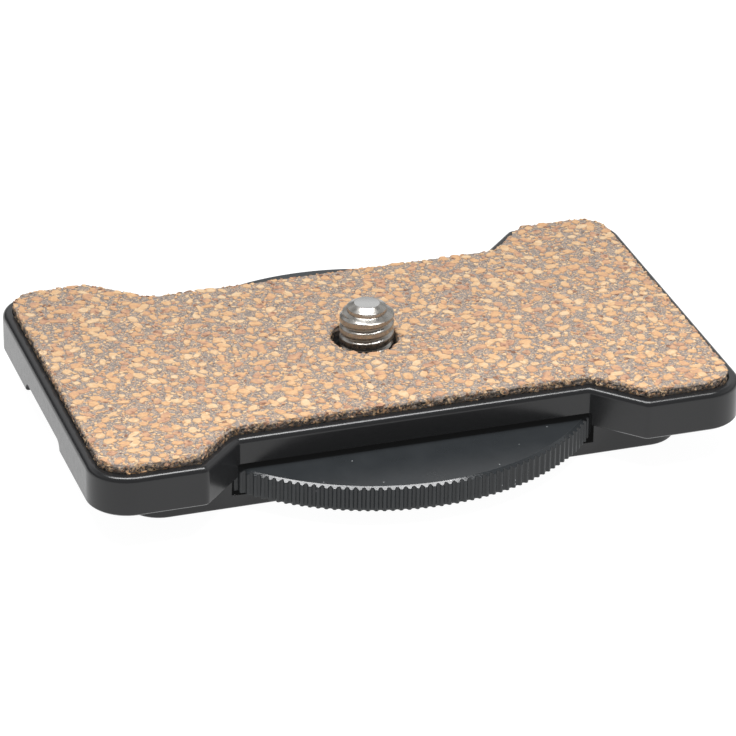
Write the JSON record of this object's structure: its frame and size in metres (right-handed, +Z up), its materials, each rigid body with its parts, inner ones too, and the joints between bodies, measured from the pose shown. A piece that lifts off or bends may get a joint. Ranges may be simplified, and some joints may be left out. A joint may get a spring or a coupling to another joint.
{
  "type": "tripod quick release plate",
  "caption": "Black metal quick release plate with a cork top, a camera screw turned by a knurled thumbwheel that shows at both long sides, and a clamping block below.",
  "frame": {"origin": "centre of the base block's underside, on the camera screw's axis", "axes": "+X along the plate's length, +Y to the back long side of the picture, +Z up along the camera screw"},
  "size_m": [0.076, 0.054, 0.0139],
  "materials": {
    "black_paint": "satin black paint on a casting",
    "cork": "matt cork granules in a dark rubber binder",
    "fixing_steel": "blackened steel",
    "black_wheel": "satin black",
    "bright_steel": "polished stainless steel",
    "nylon": "natural nylon"
  },
  "bodies": {
    "plate": {"top_plate": "black_paint", "cork_pad": "cork", "base_block": "black_paint", "base_screws": "fixing_steel"},
    "washer": {"thrust_washer": "nylon"},
    "wheel": {"thumbwheel": "black_wheel", "camera_screw": "bright_steel"}
  },
  "joints": [
    {"name": "screw_lift", "type": "slide", "parent": "plate", "child": "washer", "axis": [0, 0, 1], "range_m": [0, 0.00055]},
    {"name": "wheel_turn", "type": "hinge", "parent": "washer", "child": "wheel", "pos_m": [0, 0, 0.0033], "axis": [0, 0, 1], "continuous": true}
  ]
}
